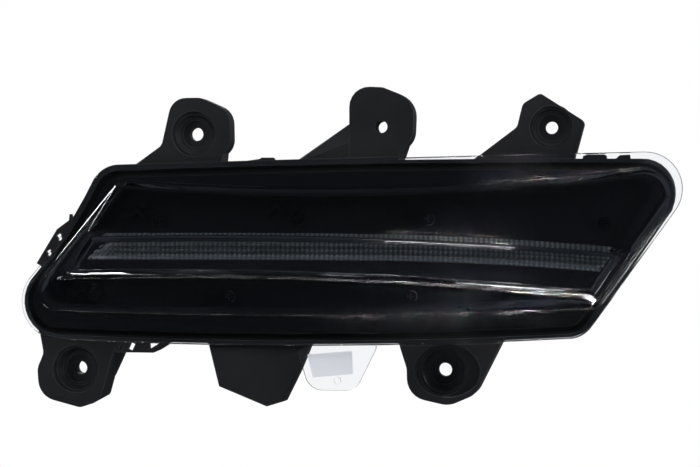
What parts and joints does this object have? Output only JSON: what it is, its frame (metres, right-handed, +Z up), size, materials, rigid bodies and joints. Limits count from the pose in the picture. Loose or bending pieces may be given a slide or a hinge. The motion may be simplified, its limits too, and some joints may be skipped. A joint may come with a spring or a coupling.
{
  "type": "vehicle indicator lamp",
  "caption": "Slanted bumper indicator lamp with a stepped clear lens over a black bezel, a long pillow-optic strip, a moulded housing with fixing ears, and a driver pod behind.",
  "frame": {"origin": "on the axis of the top middle ear's bore, at the ear's front face", "axes": "+Z up, +X along the lamp towards its tall end, -Y the way the lamp looks and the bores' axes run"},
  "size_m": [0.3344, 0.0803, 0.1629],
  "materials": {
    "housing_black": "moulded black polypropylene, fine grain",
    "bezel_black": "polished black",
    "clear_lens": "clear moulded acrylic, polished",
    "label_white": "white sticker, bare",
    "seal_black": "butyl glue bead",
    "steel_zinc": "zinc-plated screws",
    "optic_smoke": "translucent moulded optic with a smoke tint",
    "reflector_white": "white reflector plastic",
    "board_green": "solder-masked circuit board",
    "led_yellow": "amber light source",
    "aluminium_plain": "plain pressed aluminium",
    "connector_black": "glass-filled plastic",
    "pin_gold": "plated brass",
    "chip_black": "chip package",
    "coil_grey": "moulded ferrite",
    "capacitor_can": "can of an electrolytic capacitor",
    "gasket_grey": "silicone gasket",
    "seal_red": "silicone seal",
    "membrane_white": "vent membrane"
  },
  "bodies": {
    "root": {"rear_housing": "housing_black", "outer_lens": "clear_lens", "label": "label_white", "lens_seal": "seal_black", "bezel": "bezel_black", "bezel_screws": "steel_zinc", "optic_strip": "optic_smoke", "reflector_tray": "reflector_white", "led_board": "board_green", "indicator_leds": "led_yellow", "heat_spreader": "aluminium_plain", "spreader_screws": "steel_zinc", "link_header": "connector_black", "link_pins": "pin_gold", "driver_board": "board_green", "driver_chips": "chip_black", "driver_coil": "coil_grey", "driver_capacitors": "capacitor_can", "driver_cover": "aluminium_plain", "cover_gasket": "gasket_grey", "cover_screws": "steel_zinc", "connector_socket": "connector_black", "connector_seal": "seal_red", "terminal_pins": "pin_gold", "vent_caps": "connector_black", "vent_membranes": "membrane_white"}
  },
  "joints": []
}
